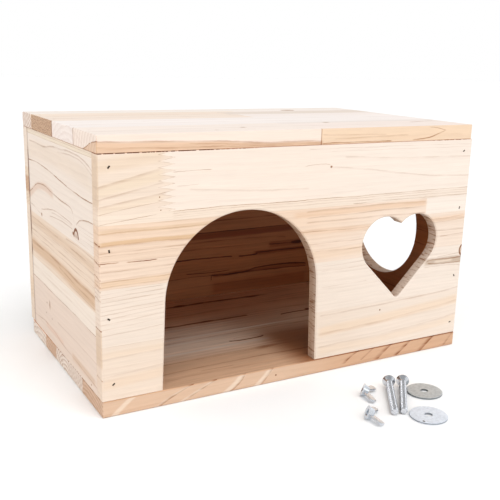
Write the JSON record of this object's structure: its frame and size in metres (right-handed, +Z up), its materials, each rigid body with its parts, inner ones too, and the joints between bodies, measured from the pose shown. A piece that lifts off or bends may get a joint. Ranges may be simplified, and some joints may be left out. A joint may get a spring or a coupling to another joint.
{
  "type": "wooden hamster house",
  "caption": "Nailed softwood hideout for small pets with an arched doorway, a heart window and a round side entrance, with loose screws, washers and wing nuts to hang it.",
  "frame": {"origin": "centre of the floor board's underside", "axes": "+Z up, the doorway and window face -Y, +X to the right seen from the front"},
  "size_m": [0.3, 0.2836, 0.18],
  "materials": {
    "softwood_walls": "bare, fine sanded",
    "softwood_roof": "bare, fine sanded",
    "softwood_floor": "bare, fine sanded",
    "nail_steel": "dull, lightly tarnished",
    "zinc_plated_steel": "bright zinc plate"
  },
  "bodies": {
    "house": {"floor_panel": "softwood_floor", "roof_panel": "softwood_roof", "front_panel": "softwood_walls", "back_panel": "softwood_walls", "left_side_panel": "softwood_walls", "right_side_panel": "softwood_walls", "front_nails_left": "nail_steel", "front_nails_right": "nail_steel", "back_nails_left": "nail_steel", "back_nails_right": "nail_steel", "roof_nails_left": "nail_steel", "roof_nails_right": "nail_steel", "floor_nails_left": "nail_steel", "floor_nails_right": "nail_steel", "floor_nails_front": "nail_steel", "floor_nails_back": "nail_steel"},
    "screw_left": {"mounting_screw_left": "zinc_plated_steel"},
    "screw_right": {"mounting_screw_right": "zinc_plated_steel"},
    "washer_front": {"wide_washer_front": "zinc_plated_steel"},
    "washer_rear": {"wide_washer_rear": "zinc_plated_steel"},
    "nut_rear": {"wing_nut_rear": "zinc_plated_steel"},
    "nut_front": {"wing_nut_front": "zinc_plated_steel"}
  },
  "joints": [
    {"name": "screw_left_lift", "type": "slide", "parent": "house", "child": "screw_left", "axis": [0, 0, 1], "range_m": [0, 0.2]},
    {"name": "screw_right_lift", "type": "slide", "parent": "house", "child": "screw_right", "axis": [0, 0, 1], "range_m": [0, 0.2]},
    {"name": "washer_front_lift", "type": "slide", "parent": "house", "child": "washer_front", "axis": [0, 0, 1], "range_m": [0, 0.2]},
    {"name": "washer_rear_lift", "type": "slide", "parent": "house", "child": "washer_rear", "axis": [0, 0, 1], "range_m": [0, 0.2]},
    {"name": "nut_rear_lift", "type": "slide", "parent": "house", "child": "nut_rear", "axis": [0, 0, 1], "range_m": [0, 0.2]},
    {"name": "nut_front_lift", "type": "slide", "parent": "house", "child": "nut_front", "axis": [0, 0, 1], "range_m": [0, 0.2]}
  ]
}
